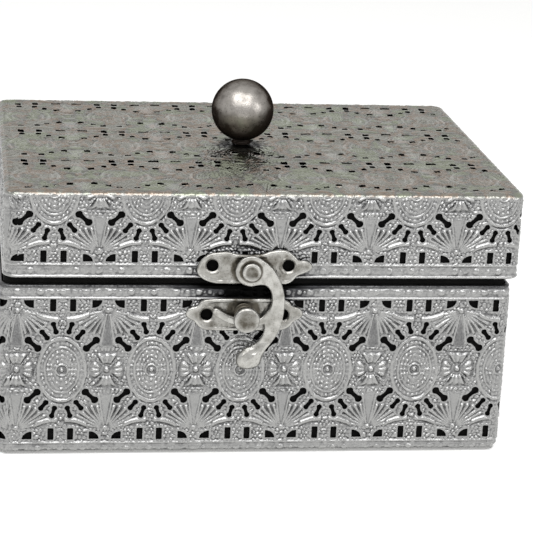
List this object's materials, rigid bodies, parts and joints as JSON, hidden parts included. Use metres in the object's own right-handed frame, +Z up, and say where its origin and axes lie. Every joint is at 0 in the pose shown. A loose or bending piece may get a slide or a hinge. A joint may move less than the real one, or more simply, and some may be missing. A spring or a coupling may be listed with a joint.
{
  "type": "jewellery box",
  "caption": "Small rectangular trinket box: pierced, embossed metal sheet over boards, hinged lid with ball knob, front hook clasp, velvet lining.",
  "frame": {"origin": "middle of the underside, on the table", "axes": "+X to the right along the front, +Y to the back, +Z up; the clasp is on the -Y face"},
  "size_m": [0.1799, 0.1482, 0.1186],
  "materials": {
    "silver_sheet": "satin",
    "dull_sheet": "satin",
    "knob_pewter": "satin",
    "nickel": "satin",
    "steel": "satin",
    "black_board": "matte",
    "velvet": "matte"
  },
  "bodies": {
    "base": {"base_front_sheet": "silver_sheet", "base_right_sheet": "silver_sheet", "base_back_sheet": "silver_sheet", "base_left_sheet": "silver_sheet", "base_front_board": "black_board", "base_right_board": "black_board", "base_back_board": "black_board", "base_left_board": "black_board", "base_floor_board": "black_board", "base_bottom_cover": "velvet", "base_front_lining": "velvet", "base_right_lining": "velvet", "base_back_lining": "velvet", "base_left_lining": "velvet", "base_floor_pad": "velvet", "clasp_catch_plate": "nickel", "clasp_stud": "nickel", "hinge_left_base_leaf": "nickel", "hinge_left_pin": "steel", "hinge_left_screw_1": "steel", "hinge_left_screw_2": "steel", "hinge_right_base_leaf": "nickel", "hinge_right_pin": "steel", "hinge_right_screw_1": "steel", "hinge_right_screw_2": "steel"},
    "lid": {"lid_front_sheet": "silver_sheet", "lid_right_sheet": "silver_sheet", "lid_back_sheet": "silver_sheet", "lid_left_sheet": "silver_sheet", "lid_top_sheet": "dull_sheet", "lid_front_board": "black_board", "lid_right_board": "black_board", "lid_back_board": "black_board", "lid_left_board": "black_board", "lid_top_board": "black_board", "lid_top_pad": "velvet", "lid_front_lining": "velvet", "lid_right_lining": "velvet", "lid_back_lining": "velvet", "lid_left_lining": "velvet", "knob": "knob_pewter", "knob_collar": "knob_pewter", "knob_washer": "steel", "knob_nut": "steel", "clasp_lid_plate": "nickel", "clasp_rivet": "nickel", "hinge_left_lid_leaf": "nickel", "hinge_left_screw_3": "steel", "hinge_left_screw_4": "steel", "hinge_right_lid_leaf": "nickel", "hinge_right_screw_3": "steel", "hinge_right_screw_4": "steel"},
    "hook": {"clasp_hook": "nickel"}
  },
  "joints": [
    {"name": "lid_hinge", "type": "hinge", "parent": "base", "child": "lid", "pos_m": [0.00095, 0.0688, 0.06315], "axis": [-1, 0, 0], "range_deg": [0, 110]},
    {"name": "hook_swing", "type": "hinge", "parent": "lid", "child": "hook", "pos_m": [-0.0036, -0.0693, 0.068], "axis": [0, -1, 0], "range_deg": [0, 120]}
  ]
}
